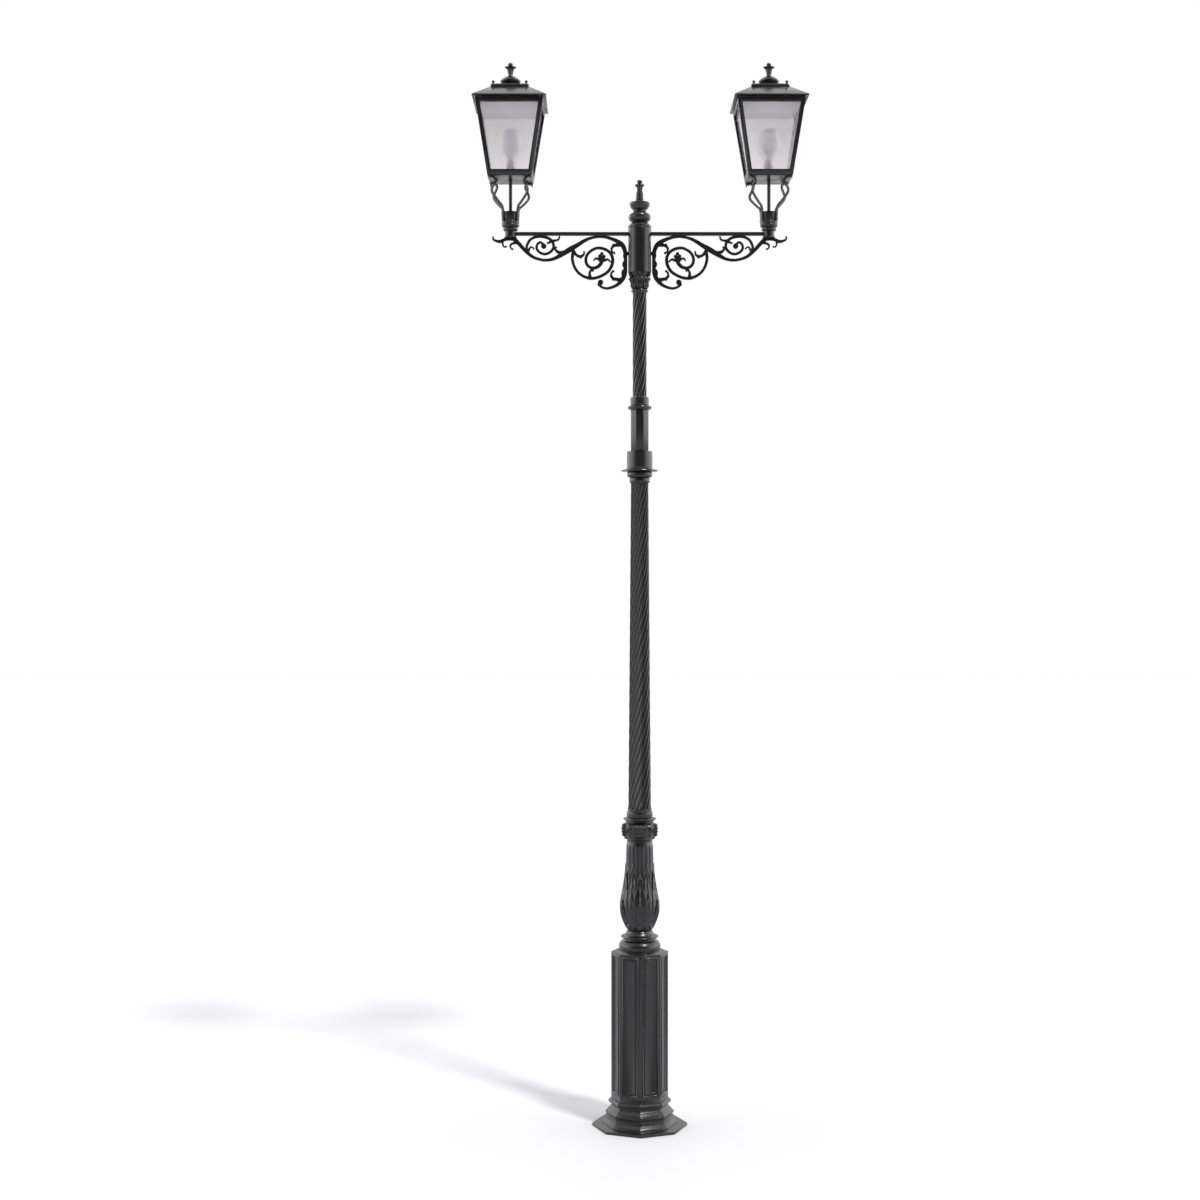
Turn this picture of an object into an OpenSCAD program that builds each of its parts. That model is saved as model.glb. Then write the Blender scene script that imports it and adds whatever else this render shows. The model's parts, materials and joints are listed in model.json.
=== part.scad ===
// Twin-arm street lamp post. An octagonal pedestal carries a baluster vase, two
// spirally fluted shafts and a pair of scrolled arms with square glazed lanterns.
// Millimetres, +Z up. The origin is the centre of the foot, on the ground.
// The arms lie along X and the front of the post faces -Y.

/* [Pedestal] */
// Distance across the corners of the foot
foot_across = 517; // [500:1:540]
// Distance across the corners of the pedestal
pedestal_across = 308; // [304:1:314]
// Height of the moulded plinth
plinth_h = 173; // [173:1:183]
// Height of the octagonal pedestal above the plinth
pedestal_h = 769; // [760:1:790]
// Wall of the pedestal casting
pedestal_wall = 14; // [13:0.5:16]

/* [Post] */
// Height of the baluster vase
vase_h = 480; // [470:1:490]
// Height of the lower fluted shaft
lower_shaft_h = 1762; // [1700:2:1800]
// Height of the plain octagonal shaft
octagon_h = 222; // [210:1:240]
// Height of the upper fluted shaft
upper_shaft_h = 559; // [540:1:580]
// Outer radius of the inner steel mast
mast_r = 24; // [22:0.5:25]

/* [Arms] */
// Distance from the post's axis to each lantern's axis
arm_reach = 700; // [695:1:720]
// Thickness of the square top bar
bar_t = 19; // [17:0.5:20]
// Depth of the scrolls from front to back
scroll_depth = 14; // [10:1:16]

/* [Lanterns] */
// Width of the lantern at its bottom rail
lantern_bottom_w = 240; // [236:1:246]
// Width of the lantern at its top rail
lantern_top_w = 364; // [360:1:366]
// Height of the glazed frame
lantern_h = 398; // [394:1:402]
// Width over the eaves
eave_w = 396; // [395:1:400]
// Greatest radius of the lamp
lamp_r = 57; // [45:1:58]

/* [Hidden] */
$fn = 96;
eps = 0.01;
PAINT = [0.13, 0.13, 0.14];
STEEL = [0.62, 0.63, 0.65];
GREY = [0.45, 0.46, 0.48];
GLASS = [0.80, 0.82, 0.84, 0.4];
OPAL = [0.88, 0.90, 0.95];
WHITE = [0.90, 0.90, 0.88];

// Heights of the seams between the post's castings, from the ground up.
cap_h = 115;
leaf_collar_h = 115;
lower_collar_h = 66;
joint_collar_h = 173;
upper_collar_h = 72;
capital_h = 112;
sleeve_h = 257;
crown_h = 128;
z_pedestal = plinth_h;
z_cap = z_pedestal + pedestal_h;
z_vase = z_cap + cap_h;
z_leaf = z_vase + vase_h;
z_lower_collar = z_leaf + leaf_collar_h;
z_lower_shaft = z_lower_collar + lower_collar_h;
z_joint = z_lower_shaft + lower_shaft_h;
z_octagon = z_joint + joint_collar_h;
z_upper_collar = z_octagon + octagon_h;
z_upper_shaft = z_upper_collar + upper_collar_h;
z_capital = z_upper_shaft + upper_shaft_h;
z_sleeve = z_capital + capital_h;
z_crown = z_sleeve + sleeve_h;
z_crown_finial = z_crown + crown_h;

// Octagons have a corner on +X and on -Y.
foot_r = foot_across / 2;
pedestal_r = pedestal_across / 2;
face_r = pedestal_r * cos(22.5);
inner_face_r = face_r - pedestal_wall;
mast_bore_r = mast_r + 1;
sleeve_r = 62.5;
plate_t = 15;
plate_r = 186;
cavity_r = 166;
cavity_h = 82;
cavity_taper = 0.84;
earth_stud_y = -138;

// Recessed panels of the pedestal.
panel_w = 81;
panel_border = 17;
outer_recess = 4;
inner_recess = 3;
moulding_w = 6;
panel_x = face_r - outer_recess - inner_recess;

// Service door, in the face whose outward normal is at door_az.
door_az = 112.5;
door_w = 62;
door_h = 440;
door_t = 6;
door_z = z_pedestal + 100;
door_gap = 1.5;
hinge_y = -door_w / 2 - 4.2;
hinge_x = panel_x + 2;
pin_r = 2.5;
pin_clear = 0.05;
knuckle_r = 4;
knuckle_h = 24;
lug_h = 12;
lock_y = 20;
lock_r = 8;
lock_z = door_z + door_h / 2;

// Forged scrolls: fillet of their inner corners, and the thinnest sliver kept.
weld_fillet = 1.5;
sliver = 0.8;
strap_ratio = 1.1;
strap_extra = 2.5;
lobe_stretch = 1.6;

// Arm and lantern heights.
bar_z = z_sleeve + 211;
socket_z = bar_z - 21;
socket_h = 137;
tray_t = 4;
lantern_z = socket_z + socket_h + 182;
frame_t = 12;
stile_w = 23;
bottom_rail = 27;
top_rail = 22;
glass_t = 4;
glass_lap = 6;
eave_gap = 6;
eave_t = 7;
roof_h = 64;
crest_w = 204;
conduit_r = 9.5;
crest_t = 16;
z_eave = lantern_z + lantern_h + eave_gap;
z_crest = z_eave + eave_t + roof_h;
z_vent = z_crest + crest_t;
vent_h = 72;
z_finial = z_vent + vent_h;
roof_hinge_y = lantern_top_w / 2 + 8;
roof_hinge_z = z_eave - 7;
roof_knuckle_r = 6.5;
roof_knuckle_x = 90;

// ---------- Curves and profiles ----------

function mix(a, b, t) = a + (b - a) * t;

// Round moulding between two heights: bulge > 0 swells out, bulge < 0 hollows.
function bead(r, z0, z1, bulge, n = 8) =
    [for (k = [0:n]) [r + bulge * sin(180 * k / n), mix(z0, z1, (1 - cos(180 * k / n)) / 2)]];

// S-shaped moulding from one radius and height to another.
function ogee(r0, z0, r1, z1, n = 8) =
    [for (k = [0:n]) [mix(r0, r1, (1 - cos(180 * k / n)) / 2), mix(z0, z1, k / n)]];

function catmull(a, b, c, d, t) =
    0.5 * (2 * b + (c - a) * t + (2 * a - 5 * b + 4 * c - d) * t * t
           + (3 * b - a - 3 * c + d) * t * t * t);

// Smooth curve through the points p, with n steps between two of them.
function smooth(p, n = 5) = concat(
    [for (i = [0:len(p) - 2]) for (k = [0:n - 1])
        catmull(p[max(i - 1, 0)], p[i], p[i + 1], p[min(i + 2, len(p) - 1)], k / n)],
    [p[len(p) - 1]]);

function heading(p, i) =
    let (a = p[max(i - 1, 0)], b = p[min(i + 1, len(p) - 1)], v = [b[0] - a[0], b[1] - a[1]])
    v / norm(v);

// Point beside the i-th point of a route whose third value is its width.
function beside(p, i, s) =
    let (h = heading(p, i)) [p[i][0] - s * h[1] * p[i][2] / 2, p[i][1] + s * h[0] * p[i][2] / 2];

function ribbon(p) = concat([for (i = [0:len(p) - 1]) beside(p, i, 1)],
                            [for (i = [len(p) - 1:-1:0]) beside(p, i, -1)]);

// Flat strap along a route of [x, z, width] points, with round ends.
module strap(route) {
    p = smooth([for (q = route) [q[0], q[1], strap_ratio * q[2] + strap_extra]], 4);
    polygon(ribbon(p));
    for (e = [p[0], p[len(p) - 1]]) translate([e[0], e[1]]) circle(d = e[2], $fn = 24);
}

// Forged outline: its inner corners are filleted, and anything thinner than a sliver is gone.
module forged() offset(r = -weld_fillet, $fn = 8) offset(delta = weld_fillet + sliver)
    offset(delta = -sliver) children();

// The same outline without its slivers, its corners left as they are.
module trimmed() offset(delta = sliver) offset(delta = -sliver) children();

// Solid of revolution under a profile of [r, z] points, with an optional bore.
module turned(profile, bore = 0) {
    rotate_extrude()
        polygon(concat([[bore, profile[0][1]]], profile, [[bore, profile[len(profile) - 1][1]]]));
}

// The same profile run round an octagon; r is then the distance to a corner.
module octagonal(profile) {
    rotate_extrude($fn = 8)
        polygon(concat([[0, profile[0][1]]], profile, [[0, profile[len(profile) - 1][1]]]));
}

module octagon_prism(r, h) cylinder(r = r, h = h, $fn = 8);

module face_frame(az) rotate([0, 0, az]) children();

// Stands a flat drawing of x and z up in the XZ plane, centred on Y = 0.
module upright(depth) rotate([90, 0, 0]) linear_extrude(height = depth, center = true) children();

module tapered_square(w0, w1, h) linear_extrude(height = h, scale = w1 / w0) square(w0, center = true);

// Fluted shaft: count strands wound to the right, tapering from r0 to r1.
module fluted_shaft(r0, r1, h, count, depth, turns, steps) {
    per_strand = 4;
    total = count * per_strand;
    section = [for (i = [0:total - 1])
        let (a = 360 * i / total, swell = abs(sin(180 * i / per_strand)))
        (r0 - depth * (1 - swell)) * [cos(a), sin(a)]];
    linear_extrude(height = h, twist = -360 * turns, scale = r1 / r0, slices = steps) polygon(section);
}

// ---------- Post ----------

module base_plate() color(STEEL) difference() {
    octagon_prism(plate_r, plate_t);
    translate([0, 0, -1]) cylinder(r = 30, h = plate_t + 2);
    for (a = [45:90:315])
        rotate([0, 0, a]) translate([110, 0, -1]) cylinder(r = 11, h = plate_t + 2);
}

// Flat flange, a block with a moulded foot, then a torus, an ogee and a bead.
function plinth_profile() = concat(
    [[foot_r, 0], [foot_r, 12], [foot_r - 3, 14], [207, 18], [207, 23], [200, 25]],
    ogee(199, 26, 187, 38, 4), [[184, 40], [184, 58], [178, 61], [178, 66]],
    bead(181, 67, 86, 4, 6), [[177, 88]], ogee(176, 89, 157, 112, 6), [[154, 114]],
    bead(154, 122, 150, 16, 6), [[154, 154], [pedestal_r, plinth_h - 10], [pedestal_r, plinth_h]]);

module plinth() color(PAINT) difference() {
    octagonal(plinth_profile());
    translate([0, 0, -1]) octagon_prism(plate_r, plate_t + 1);
    translate([0, 0, plate_t - eps]) linear_extrude(height = cavity_h, scale = cavity_taper)
        circle(r = cavity_r, $fn = 8);
    octagon_prism(inner_face_r / cos(22.5), plinth_h + 1);
}

module panel_recesses() {
    panel_z = z_pedestal + panel_border;
    panel_h = pedestal_h - 2 * panel_border;
    for (k = [0:7]) face_frame(22.5 + 45 * k) {
        translate([face_r - outer_recess, -panel_w / 2, panel_z]) cube([10, panel_w, panel_h]);
        translate([panel_x, moulding_w - panel_w / 2, panel_z + moulding_w])
            cube([10, panel_w - 2 * moulding_w, panel_h - 2 * moulding_w]);
    }
}

module at_door_hinges() {
    for (z = [door_z + 60, door_z + door_h - 60]) translate([hinge_x, hinge_y, z]) children();
}

module pedestal() color(PAINT) difference() {
    union() {
        difference() {
            translate([0, 0, z_pedestal]) octagon_prism(pedestal_r, pedestal_h);
            translate([0, 0, z_pedestal - 1])
                octagon_prism(inner_face_r / cos(22.5), pedestal_h + 2);
            panel_recesses();
            face_frame(door_az) translate([inner_face_r - 5, -door_w / 2 - door_gap, door_z])
                cube([20, door_w + 2 * door_gap, door_h]);
        }
        face_frame(door_az) at_door_hinges() difference() {
            union() {
                cylinder(r = knuckle_r, h = knuckle_h + 2 * lug_h, center = true);
                translate([-knuckle_r - 4, -knuckle_r - 3, -knuckle_h / 2 - lug_h])
                    cube([knuckle_r + 4, knuckle_r + 3, knuckle_h + 2 * lug_h]);
            }
            cube([30, 30, knuckle_h + 1], center = true);
        }
    }
    face_frame(door_az) at_door_hinges() {
        cylinder(r = pin_r, h = knuckle_h + 2 * lug_h + 1, center = true);
        cube([2 * knuckle_r + 2, 2 * knuckle_r + 2, knuckle_h + 1], center = true);
    }
}

module access_door() color(PAINT) face_frame(door_az) difference() {
    union() {
        translate([panel_x - door_t, -door_w / 2, door_z + door_gap])
            cube([door_t, door_w, door_h - 2 * door_gap]);
        at_door_hinges() {
            cylinder(r = knuckle_r, h = knuckle_h, center = true);
            translate([-knuckle_r, 0, -knuckle_h / 2]) cube([knuckle_r, knuckle_r + 2, knuckle_h]);
        }
    }
    at_door_hinges() cylinder(r = pin_r + pin_clear, h = knuckle_h + 1, center = true);
    translate([panel_x - 10, lock_y, lock_z]) rotate([0, 90, 0])
        cylinder(r = lock_r + pin_clear, h = 20);
}

// Quarter-turn lock. At rest its cam stands upright and leaves the door free.
module door_lock() color(STEEL) face_frame(door_az) translate([0, lock_y, lock_z]) {
    cam = [4, 14, 17];
    cam_back = panel_x - 15;
    barrel_back = cam_back - 2;
    translate([barrel_back, 0, 0]) rotate([0, 90, 0]) cylinder(r = lock_r, h = panel_x + 1 - barrel_back);
    translate([cam_back, -cam.y / 2, 0]) cube(cam);
    translate([panel_x + 0.3, 0, 0]) rotate([0, 90, 0]) cylinder(r = lock_r + 1, h = 2);
    translate([panel_x + 2, 0, 0]) rotate([0, 90, 0]) cylinder(r = 5, h = 3, $fn = 3);
}

module hinge_pins() color(STEEL) {
    face_frame(door_az) at_door_hinges()
        cylinder(r = pin_r, h = knuckle_h + 2 * lug_h, center = true);
    for (side = [-1, 1]) for (x = [-roof_knuckle_x, roof_knuckle_x])
        translate([side * arm_reach + x, roof_hinge_y, roof_hinge_z])
            rotate([0, 90, 0]) cylinder(r = pin_r, h = 60, center = true);
}

module equipment_rail() color(STEEL) face_frame(door_az - 180)
    translate([inner_face_r - 5, -15, z_pedestal + 80]) cube([5, 30, 420]);

module fuse_box() color(GREY) face_frame(door_az - 180)
    translate([inner_face_r - 45, -38, z_pedestal + 230]) difference() {
        cube([40, 76, 190]);
        translate([-1, 4, 4]) cube([37, 68, 182]);
        for (y = [20, 56]) translate([20, y, -1]) cylinder(r = 8, h = 8);
    }

module fuse_cover() color(WHITE) face_frame(door_az - 180)
    translate([inner_face_r - 62, -38, z_pedestal + 230]) {
        translate([14, 0, 0]) cube([3, 76, 190]);
        translate([0, 18, 50]) cube([14, 40, 90]);
    }

module cable_glands() color(GREY) face_frame(door_az - 180)
    for (y = [20, 56]) translate([inner_face_r - 25, y - 38, z_pedestal + 230]) difference() {
        union() {
            translate([0, 0, -8]) cylinder(r = 13, h = 8, $fn = 6);
            translate([0, 0, -24]) cylinder(r = 10, h = 16);
            cylinder(r = 8, h = 4);
        }
        translate([0, 0, -25]) cylinder(r = 5, h = 40);
    }

module earth_stud() color(STEEL) translate([0, earth_stud_y, plate_t]) {
    cylinder(r = 5, h = 34);
    for (z = [0, 14]) translate([0, 0, z]) cylinder(r = 9, h = 8, $fn = 6);
}

function cap_profile() = concat(
    bead(106, 6, 50, 7, 10), ogee(106, 50, 87, 70, 6), [[87, 73]], bead(88, 75, 89, 14, 6),
    [[83, 92], [74, 102], [68, cap_h]]);

module pedestal_cap() color(PAINT) translate([0, 0, z_cap]) difference() {
    union() {
        octagonal([[pedestal_r, 0], [pedestal_r - 3, 2], [126, 9], [121, 12]]);
        turned(cap_profile());
    }
    translate([0, 0, 12]) cylinder(r = mast_r, h = cap_h);
    translate([0, 0, -1]) cylinder(r = mast_r - 5, h = cap_h);
}

// Belly low down, slender fluted neck above it.
function vase_profile() = smooth([[66, 0], [85, 43], [100, 86], [105, 124], [103, 162], [92, 228],
    [82, 292], [78, 355], [77, 420], [75, 460], [70, vase_h]], 4);

module vase() color(PAINT) translate([0, 0, z_vase]) turned(vase_profile(), mast_bore_r);

function leaf_collar_profile() = smooth([[70, 0], [72, 8], [86, 18], [92, 34], [94, 56], [95, 76],
    [90, 94], [80, 104], [77, leaf_collar_h]], 3);

module leaf_collar() color(PAINT) translate([0, 0, z_leaf]) turned(leaf_collar_profile(), mast_bore_r);

function lower_collar_profile() = concat(
    [[77, 0], [84, 4]], bead(87, 5, 12, 3, 4), [[76, 16]], bead(69, 17, 48, 1.5, 6), [[65, 50],
    [65, lower_collar_h]]);

module lower_collar() color(PAINT) translate([0, 0, z_lower_collar])
    turned(lower_collar_profile(), mast_bore_r);

module lower_shaft() color(PAINT) translate([0, 0, z_lower_shaft]) difference() {
    fluted_shaft(62.5, 47.5, lower_shaft_h, 16, 3, 1.57, 36);
    translate([0, 0, -1]) cylinder(r = mast_bore_r, h = lower_shaft_h + 2);
}

function joint_collar_profile() = concat(
    bead(52, 0, 28, 3.5, 6), [[63, 30], [67, 34]], bead(65, 34, 58, 3, 6), [[86, 61]],
    bead(96, 62, 69, 4, 4), [[75, 73], [70, 77]], bead(68.5, 79, joint_collar_h - 3, 1, 8),
    [[50, joint_collar_h - 2], [50, joint_collar_h]]);

module joint_collar() color(PAINT) translate([0, 0, z_joint]) turned(joint_collar_profile(), mast_bore_r);

module octagonal_shaft() color(PAINT) translate([0, 0, z_octagon]) difference() {
    rotate([0, 0, 22.5]) octagon_prism(47.5 / cos(22.5), octagon_h);
    translate([0, 0, -1]) cylinder(r = mast_bore_r, h = octagon_h + 2);
}

function upper_collar_profile() = concat(
    [[53, 0], [57, 2]], bead(60, 6, 20, 5, 6), [[52, 24]], bead(49, 26, 66, 1, 6),
    [[42, upper_collar_h]]);

module upper_collar() color(PAINT) translate([0, 0, z_upper_collar])
    turned(upper_collar_profile(), mast_bore_r);

module upper_shaft() color(PAINT) translate([0, 0, z_upper_shaft]) difference() {
    fluted_shaft(38, 38, upper_shaft_h, 10, 2, 0.72, 18);
    translate([0, 0, -1]) cylinder(r = mast_bore_r, h = upper_shaft_h + 2);
}

function capital_profile() = smooth([[38, 0], [40, 6], [46, 11], [46, 16], [40, 22], [42, 30], [47, 42],
    [46, 55], [51, 70], [55, 78], [50, 88], [55, 98], [58, 106], [60, capital_h]], 3);

module capital() color(PAINT) translate([0, 0, z_capital]) turned(capital_profile(), mast_bore_r);

module head_sleeve() color(PAINT) difference() {
    translate([0, 0, z_sleeve]) turned(concat([[sleeve_r, 0], [sleeve_r, sleeve_h - 20]],
        bead(sleeve_r, sleeve_h - 18, sleeve_h - 12, -2.5, 4), [[sleeve_r, sleeve_h - 4],
        [sleeve_r - 3, sleeve_h]]), mast_bore_r);
    for (a = [0, 180]) rotate([0, 0, a]) translate([20, 0, bar_z]) rotate([0, 90, 0])
        cylinder(r = 5, h = 60);
}

function crown_profile() = concat(
    [[59, 0], [53, 6]], ogee(52, 7, 42, 18, 4), bead(42, 20, 66, 18, 10), [[37, 70], [36, 76]],
    smooth([[36, 82], [43, 90], [49, 98], [54, 110], [55, 120]], 3), [[51, crown_h - 3], [26, crown_h]]);

module crown() color(PAINT) translate([0, 0, z_crown]) difference() {
    turned(crown_profile());
    translate([0, 0, -1]) cylinder(r = mast_r + 4, h = 20);
}

function crown_finial_profile() = concat(
    smooth([[20, 0], [21, 12], [19, 24], [19.5, 38], [17, 50], [14, 62], [15.5, 70], [17, 80], [22, 87]], 3),
    [[23, 92], [20, 95], [13, 99]], bead(12, 100, 116, 2, 6), [[6, 118], [0, 119]]);

module crown_finial() color(PAINT) translate([0, 0, z_crown_finial]) turned(crown_finial_profile());

module mast_tube() color(STEEL) difference() {
    translate([0, 0, z_cap + 12]) cylinder(r = mast_r, h = z_crown + 16 - z_cap - 12);
    translate([0, 0, z_cap + 11]) cylinder(r = mast_r - 4, h = z_crown - z_cap + 20);
    for (a = [0, 180]) rotate([0, 0, a]) translate([10, 0, bar_z]) rotate([0, 90, 0])
        cylinder(r = 5, h = 30);
}

// Socket screws that stand a little proud of the head sleeve, round its back.
module set_screws() color(STEEL) difference() {
    for (z = [30, sleeve_h - 30]) for (a = [60, 120]) rotate([0, 0, a])
        translate([sleeve_r - 3, 0, z_sleeve + z]) rotate([0, 90, 0]) difference() {
            cylinder(r = 5, h = 6);
            translate([0, 0, 4]) cylinder(r = 2.5, h = 3, $fn = 6);
        }
    translate([0, 0, z_sleeve - 1]) cylinder(r = sleeve_r, h = sleeve_h + 2);
}

// ---------- Arms, drawn on the +X side ----------

module arm_bar() color(PAINT) difference() {
    translate([0, -bar_t / 2, bar_z - bar_t / 2]) cube([arm_reach, bar_t, bar_t]);
    translate([-1, -6, bar_z - 6]) cube([arm_reach + 2, 12, 12]);
    translate([0, 0, bar_z - 20]) cylinder(r = sleeve_r, h = 40);
    translate([arm_reach, 0, bar_z - 20]) cylinder(r = 30, h = 40);
}

// Routes are [distance from the post's axis, height above the bar's axis, width].
main_route = [[795, -16, 6], [792, -30, 8], [779, -37, 10], [757, -41, 14], [735, -32, 13],
    [710, -28, 12], [680, -29, 18], [655, -52, 17], [628, -82, 16], [590, -117, 14], [555, -134, 12],
    [511, -142, 12], [467, -135, 14], [423, -112, 20], [378, -84, 24], [340, -62, 19], [295, -34, 15],
    [256, -20, 11], [212, -14.5, 11], [168, -21, 13], [124, -38, 18], [96, -58, 21], [81, -88, 19],
    [77, -130, 16], [77, -172, 16], [80, -216, 19], [96, -249, 20], [124, -277, 14], [168, -294, 11],
    [201, -290, 10], [222, -273, 12]];
main_end = [212, -262];
sleeve_pad = [67, -106];
large_route = [[361, -101, 14], [365, -135, 13], [353, -179, 12], [326, -215, 12], [285, -237, 13],
    [250, -240, 13], [212, -229, 13], [174, -206, 13], [152, -173, 14], [146, -135, 14],
    [160, -102, 13], [190, -82, 13], [229, -76, 12], [262, -90, 12], [284, -112, 12], [292, -140, 13],
    [284, -168, 13], [259, -184, 13], [229, -179, 15], [208, -158, 16]];
small_route = [[598, -110, 14], [611, -84, 11], [611, -63, 11], [594, -32, 11], [566, -17, 11],
    [533, -14.5, 11], [500, -21, 12], [478, -35, 12], [467, -57, 12], [469, -79, 12], [489, -101, 11],
    [517, -109, 11], [544, -98, 11], [558, -79, 11], [555, -57, 10], [539, -45, 10], [524, -54, 10]];

// Hook from one point to another with a ball on its tip.
module curl(route, ball) {
    strap(route);
    tip = route[len(route) - 1];
    translate([tip[0], tip[1]]) circle(r = ball, $fn = 24);
}

module main_scroll_outline() forged() {
    strap(main_route);
    translate(main_end) circle(r = 15, $fn = 32);
    curl([[742, -38, 9], [742, -58, 7], [734, -70, 6], [724, -69, 5]], 5);
    curl([[668, -48, 11], [690, -52, 9], [701, -63, 8], [699, -76, 6], [690, -82, 5]], 6);
    curl([[360, -92, 16], [344, -113, 12], [322, -122, 12], [304, -112, 9], [301, -98, 6]], 6);
    curl([[98, -58, 18], [121, -60, 15], [141, -64, 13], [152, -80, 9], [149, -97, 7], [138, -103, 5]], 7);
    curl([[98, -250, 20], [125, -246, 15], [144, -241, 14], [154, -226, 10], [153, -211, 8],
        [143, -202, 6]], 7);
    curl([[402, -98, 18], [430, -101, 14], [450, -92, 11], [459, -81, 8], [453, -73, 6]], 6);
    for (tip = [[143, -58, 6], [155, -79, 5], [144, -248, 6], [158, -230, 5], [318, -128, 6],
                [447, -101, 5]])
        translate([tip[0], tip[1]]) circle(r = tip[2], $fn = 24);
    translate(sleeve_pad) circle(r = 10, $fn = 24);
    for (lobe = [[80, -118, 11], [83, -165, 12], [86, -213, 14]])
        translate([lobe[0], lobe[1]]) scale([1, lobe_stretch]) circle(r = lobe[2], $fn = 24);
}

module large_scroll_outline() forged() {
    strap(large_route);
    curl([[270, -232, 16], [271, -212, 11], [264, -197, 9], [253, -199, 6]], 6);
    strap([[208, -152, 13], [222, -138, 10], [238, -132, 8], [248, -144, 5]]);
    strap([[204, -148, 13], [188, -142, 11], [172, -138, 9], [160, -150, 5]]);
    for (p = [[206, -138, 17], [194, -122, 10], [216, -120, 10], [205, -106, 9]])
        translate([p[0], p[1]]) circle(r = p[2], $fn = 24);
}

module small_scroll_outline() forged() {
    strap(small_route);
    translate([520, -66]) circle(r = 15, $fn = 32);
    curl([[478, -38, 12], [456, -35, 9], [440, -30, 8], [435, -16, 6]], 5);
    strap([[474, -36, 12], [489, -46, 10], [501, -50, 6]]);
    curl([[600, -88, 8], [594, -74, 7], [583, -71, 6], [574, -80, 5]], 5);
}

module bar_shadow() translate([0, -bar_t / 2]) square([arm_reach, bar_t]);

module main_scroll() color(PAINT) translate([0, 0, bar_z]) difference() {
    upright(scroll_depth) trimmed() difference() {
        main_scroll_outline();
        bar_shadow();
        translate([arm_reach - 37, -21]) square([74, 40]);
    }
    translate([0, 0, -400]) cylinder(r = sleeve_r, h = 500);
}

module large_scroll() color(PAINT) translate([0, 0, bar_z]) upright(scroll_depth - 2)
    trimmed() difference() {
        large_scroll_outline();
        main_scroll_outline();
    }

module small_scroll() color(PAINT) translate([0, 0, bar_z]) upright(scroll_depth - 2)
    trimmed() difference() {
        small_scroll_outline();
        main_scroll_outline();
        bar_shadow();
    }

// ---------- Lanterns, drawn on the +X side ----------

module at_lantern(z = 0) translate([arm_reach, 0, z]) children();

function socket_profile() = concat(
    [[36, 0], [34, 3], [30, 8], [30, 34]], bead(37, 38, 54, 3, 6), [[42, 57], [46, 61]],
    bead(46, 62, 74, 2, 5), bead(46, 76, 88, 2, 5), [[47, 92], [50, 122], [50, socket_h]]);

module socket() color(PAINT) at_lantern(socket_z) difference() {
    turned(socket_profile());
    translate([0, 0, -1]) cylinder(r = conduit_r, h = socket_h + 2);
    translate([-40, 0, bar_z - socket_z]) rotate([0, 90, 0]) cylinder(r = 5, h = 40);
}

leg_route = [[54.5, -46, 9], [54.5, -8, 9], [62, 28, 9], [84, 46, 9], [126, 84, 9], [136, 106, 9],
    [124, 130, 9], [110, 150, 9], [116, 168, 9], [134, 174, 9], [148, 174, 9]];

module legs() color(PAINT) at_lantern(socket_z + socket_h) difference() {
    for (a = [45:90:315]) rotate([0, 0, a]) upright(10) difference() {
        strap(leg_route);
        translate([100, lantern_z - tray_t - socket_z - socket_h]) square([100, 20]);
    }
    translate([0, 0, -socket_h]) cylinder(r = 50, h = socket_h);
}

// Thin tube of each lantern, from inside its socket up into its lamp holder.
module conduits() color(PAINT) for (side = [-1, 1])
    translate([side * arm_reach, 0, socket_z + socket_h - 20]) difference() {
        cylinder(r = conduit_r, h = lantern_z + 6 - socket_z - socket_h + 20);
        translate([0, 0, -1]) cylinder(r = conduit_r - 2, h = 300);
    }

function lantern_half(z) = mix(lantern_bottom_w, lantern_top_w, z / lantern_h) / 2;

// Outline of one glazed opening, grown by extra on every side.
module glazed_outline(extra) {
    z0 = bottom_rail - extra;
    z1 = lantern_h - top_rail + extra;
    w0 = lantern_half(z0) - stile_w + extra;
    w1 = lantern_half(z1) - stile_w + extra;
    polygon([[-w0, z0], [w0, z0], [w1, z1], [-w1, z1]]);
}

// A square shell of the lantern's slope, inset from its outer faces.
module sloped_shell(inset, t) difference() {
    tapered_square(lantern_bottom_w - 2 * inset, lantern_top_w - 2 * inset, lantern_h);
    translate([0, 0, -eps]) tapered_square(lantern_bottom_w - 2 * inset - 2 * t,
        lantern_top_w - 2 * inset - 2 * t + eps, lantern_h + 2 * eps);
}

module frame() color(PAINT) at_lantern(lantern_z) difference() {
    union() {
        difference() {
            sloped_shell(0, frame_t);
            upright(500) glazed_outline(0);
            rotate([0, 0, 90]) upright(500) glazed_outline(0);
        }
        for (x = [-roof_knuckle_x, roof_knuckle_x]) translate([x, roof_hinge_y, roof_hinge_z - lantern_z])
            difference() {
                union() {
                    rotate([0, 90, 0]) cylinder(r = roof_knuckle_r, h = 60, center = true);
                    translate([-30, -12, -roof_knuckle_r]) cube([60, 12, roof_knuckle_r]);
                }
                cube([25, 30, 20], center = true);
            }
    }
    for (x = [-roof_knuckle_x, roof_knuckle_x]) translate([x, roof_hinge_y, roof_hinge_z - lantern_z])
        rotate([0, 90, 0]) cylinder(r = pin_r, h = 62, center = true);
}

module tray() color(PAINT) at_lantern(lantern_z - tray_t) difference() {
    translate([0, 0, tray_t / 2]) cube([lantern_bottom_w - 2, lantern_bottom_w - 2, tray_t], center = true);
    translate([0, 0, -1]) cylinder(r = conduit_r, h = tray_t + 2);
}

module glass() color(GLASS) at_lantern(lantern_z) intersection() {
    sloped_shell(frame_t, glass_t);
    union() {
        upright(500) glazed_outline(glass_lap);
        rotate([0, 0, 90]) upright(500) glazed_outline(glass_lap);
    }
}

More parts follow.
